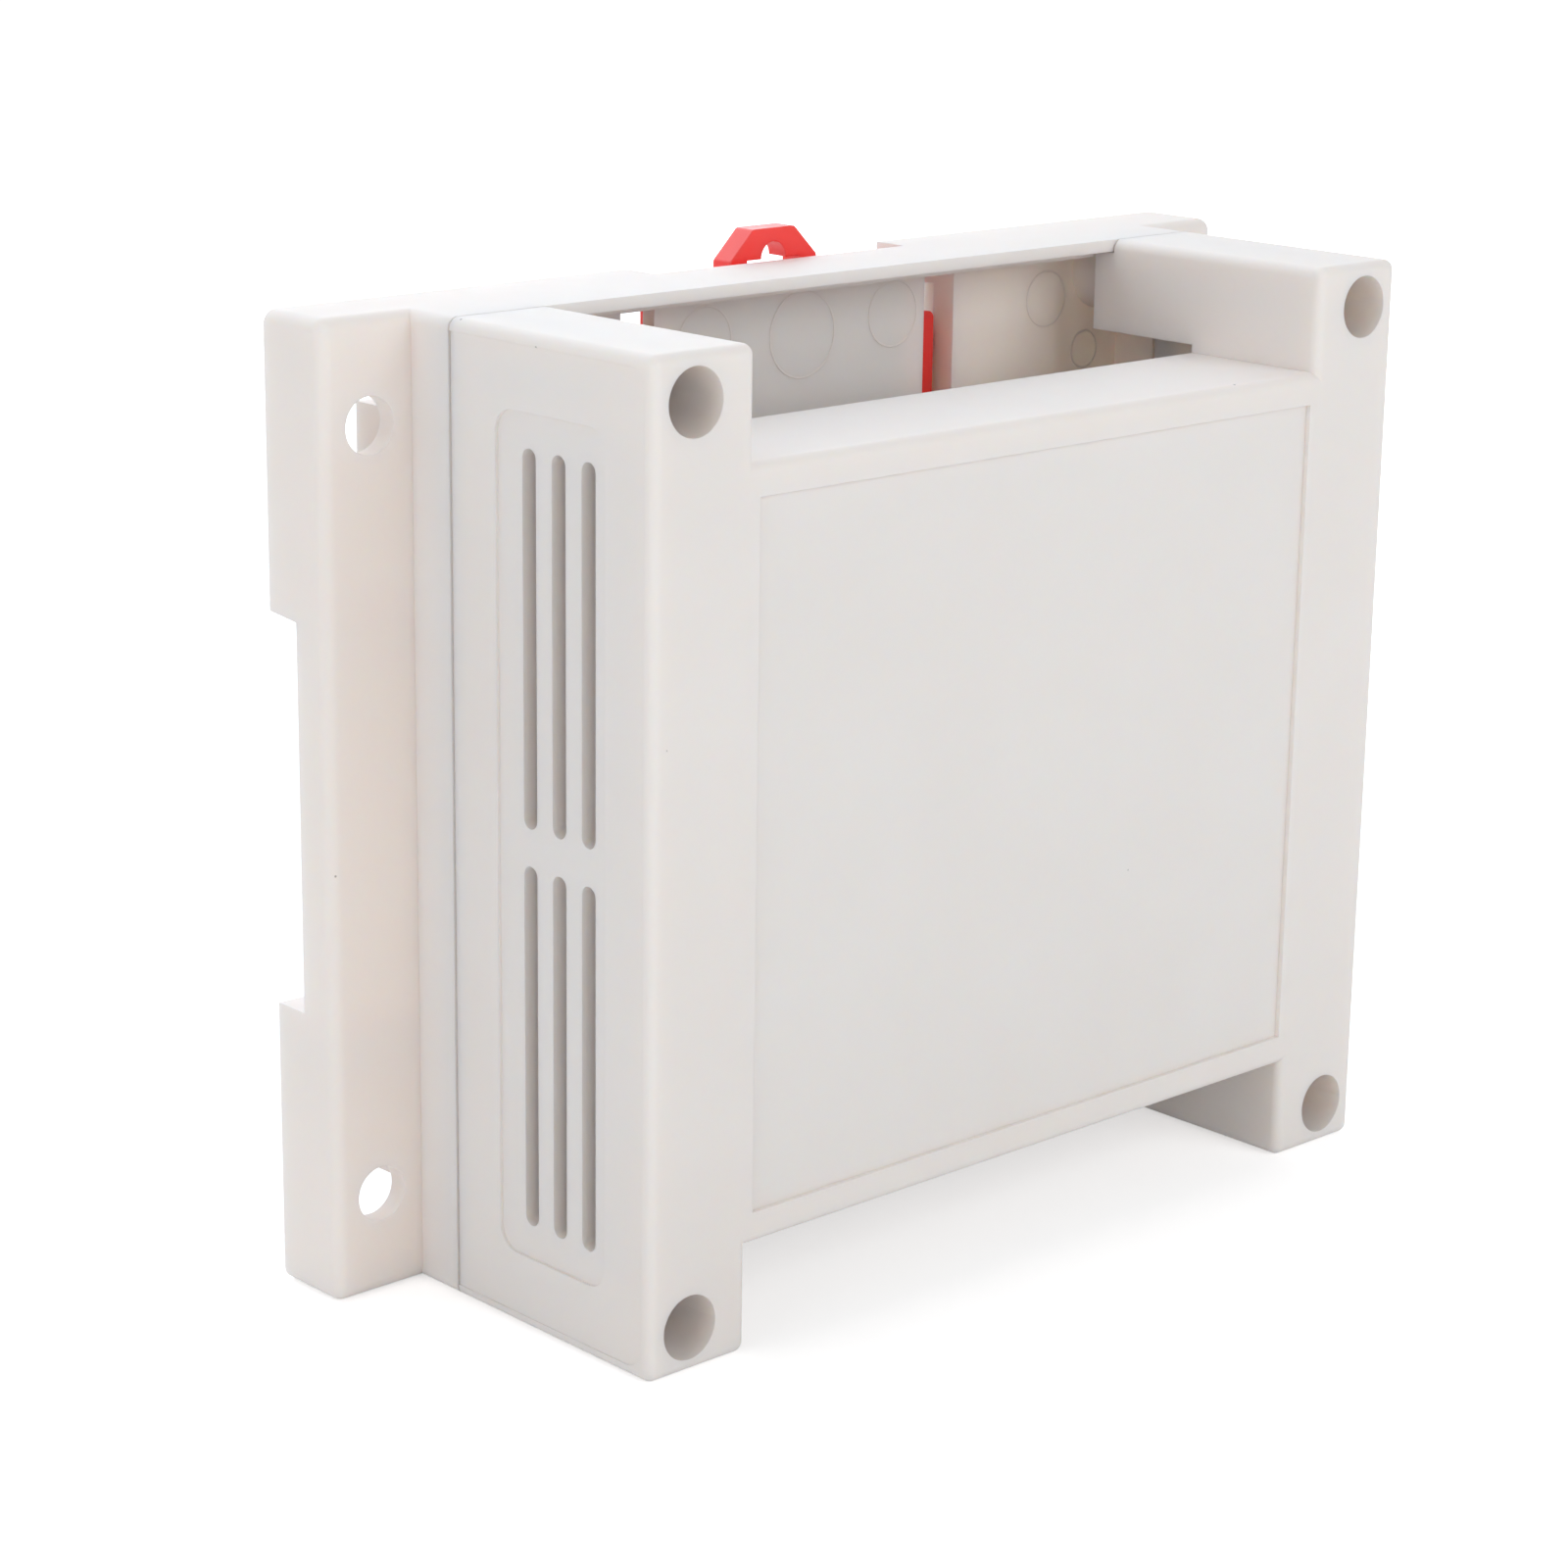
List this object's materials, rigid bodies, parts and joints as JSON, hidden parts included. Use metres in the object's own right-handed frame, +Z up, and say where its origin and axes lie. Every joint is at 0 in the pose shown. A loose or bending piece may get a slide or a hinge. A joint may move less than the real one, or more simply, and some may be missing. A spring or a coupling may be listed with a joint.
{
  "type": "junction box",
  "caption": "Shallow plastic enclosure for a mounting rail or a wall, with wiring openings at both ends, vented sides, screw flanges and a red sliding rail clip.",
  "frame": {"origin": "under the middle of the box, on the surface it stands on, at the bottom centre of its bounding box", "axes": "+Z up, along the wiring direction; X along the length across the flanges; the front cover faces -Y and the rail side faces +Y"},
  "size_m": [0.115, 0.04, 0.0929],
  "materials": {
    "shell": "fine satin moulding",
    "screw_steel": "zinc plated",
    "red_plastic": "satin moulding"
  },
  "bodies": {
    "housing": {"base": "shell", "front_cover": "shell", "cover_screws": "screw_steel"},
    "clip": {"rail_clip": "red_plastic"}
  },
  "joints": [
    {"name": "clip_slide", "type": "slide", "parent": "housing", "child": "clip", "axis": [0, 0, 1], "range_m": [0, 0.004]}
  ]
}
